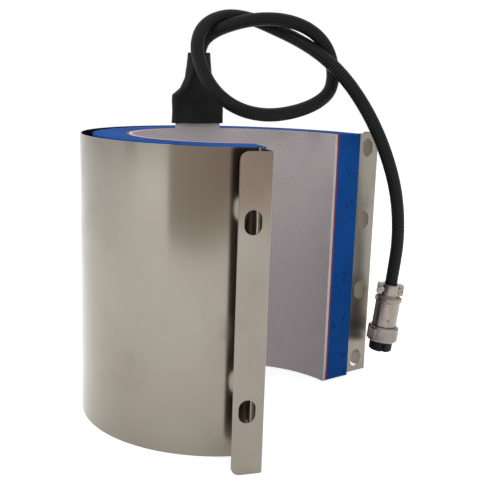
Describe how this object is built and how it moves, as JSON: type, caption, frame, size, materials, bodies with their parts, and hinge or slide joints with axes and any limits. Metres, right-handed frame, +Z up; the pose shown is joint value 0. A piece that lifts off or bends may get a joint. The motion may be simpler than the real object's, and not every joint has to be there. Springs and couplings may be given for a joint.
{
  "type": "mug press band heater",
  "caption": "C-shaped stainless band lined with silicone sponge and a flat heater mat, for wrapping a mug, with a braided cable and a round screw-ring plug.",
  "frame": {"origin": "on the mug's axis, the axis of the lining's tighter arc, in the plane the band stands on", "axes": "+Z up along the mug's axis; the open side of the C faces +X; -Y is the side with the near end of the band"},
  "size_m": [0.1766, 0.1627, 0.205],
  "materials": {
    "stainless_steel": "bright polished",
    "blue_sponge": "matte closed-cell silicone sponge",
    "red_silicone": "matte",
    "heating_foil": "matte metal foil",
    "grey_silicone": "matte with a fine weave",
    "sensor_capsule": "gloss",
    "black_sleeve": "soft sheen",
    "lead_insulation": "satin",
    "tinned_copper": "satin",
    "black_braid": "woven braid",
    "nickel": "satin nickel plate",
    "spring_steel": "satin",
    "black_insulator": "matte",
    "contact_brass": "bright"
  },
  "bodies": {
    "heater": {"steel_band": "stainless_steel", "foam_pad": "blue_sponge", "backing_sheet": "red_silicone", "heating_foil": "heating_foil", "heater_mat": "grey_silicone", "temperature_sensor": "sensor_capsule", "heat_shrink_sleeve": "black_sleeve", "lead_wires": "lead_insulation", "crimp_splices": "tinned_copper", "cable": "black_braid", "back_shell": "nickel", "clamp_saddle": "nickel", "clamp_screws": "nickel", "lock_screw": "nickel", "retaining_ring": "spring_steel", "insulator_insert": "black_insulator", "contact_sockets": "contact_brass"},
    "ring": {"coupling_ring": "nickel"}
  },
  "joints": [
    {"name": "ring_turn", "type": "hinge", "parent": "heater", "child": "ring", "pos_m": [0.09575, 0.0423, 0.02565], "axis": [-0.1011, 0, -0.9949], "continuous": true}
  ]
}
